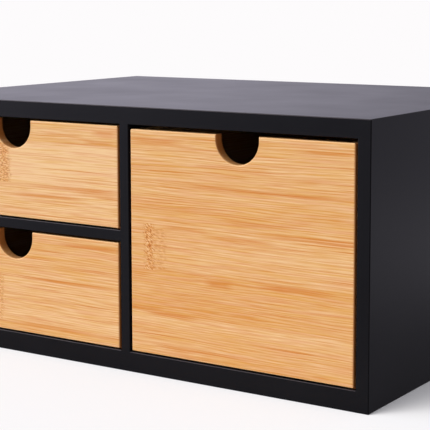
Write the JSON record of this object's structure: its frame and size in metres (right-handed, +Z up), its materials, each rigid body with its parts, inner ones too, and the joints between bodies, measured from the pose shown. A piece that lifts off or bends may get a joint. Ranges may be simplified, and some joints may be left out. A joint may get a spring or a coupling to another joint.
{
  "type": "desktop mini drawers",
  "caption": "Desktop drawer box in black board, with small and tall pull-out bamboo drawers, each with a round finger notch in its front.",
  "frame": {"origin": "on the underside, at the middle of the width and the depth of the box", "axes": "+X to the right seen from the front, +Y to the back, +Z up; the drawers pull out along -Y"},
  "size_m": [0.385, 0.285, 0.18],
  "materials": {
    "black_board": "satin black paint on board",
    "black_back": "matt black paint on thin board",
    "beech": "bare turned beech",
    "steel": "bright drawn wire",
    "bamboo_front": "sanded and clear lacquered laminated bamboo",
    "bamboo_box": "sanded laminated bamboo",
    "bamboo_sheet": "sanded bamboo plywood"
  },
  "bodies": {
    "box": {"top_panel": "black_board", "bottom_panel": "black_board", "left_side_panel": "black_board", "right_side_panel": "black_board", "back_panel": "black_back", "divider": "black_board", "shelf": "black_board", "panel_dowels": "beech", "back_panel_brads": "steel"},
    "upper_drawer": {"upper_drawer_front": "bamboo_front", "upper_drawer_left_side": "bamboo_box", "upper_drawer_right_side": "bamboo_box", "upper_drawer_back": "bamboo_box", "upper_drawer_bottom": "bamboo_sheet", "upper_drawer_brads": "steel"},
    "lower_drawer": {"lower_drawer_front": "bamboo_front", "lower_drawer_left_side": "bamboo_box", "lower_drawer_right_side": "bamboo_box", "lower_drawer_back": "bamboo_box", "lower_drawer_bottom": "bamboo_sheet", "lower_drawer_brads": "steel"},
    "large_drawer": {"large_drawer_front": "bamboo_front", "large_drawer_left_side": "bamboo_box", "large_drawer_right_side": "bamboo_box", "large_drawer_back": "bamboo_box", "large_drawer_bottom": "bamboo_sheet", "large_drawer_brads": "steel"}
  },
  "joints": [
    {"name": "upper_drawer_slide", "type": "slide", "parent": "box", "child": "upper_drawer", "axis": [0, -1, 0], "range_m": [0, 0.2]},
    {"name": "lower_drawer_slide", "type": "slide", "parent": "box", "child": "lower_drawer", "axis": [0, -1, 0], "range_m": [0, 0.2]},
    {"name": "large_drawer_slide", "type": "slide", "parent": "box", "child": "large_drawer", "axis": [0, -1, 0], "range_m": [0, 0.2]}
  ]
}
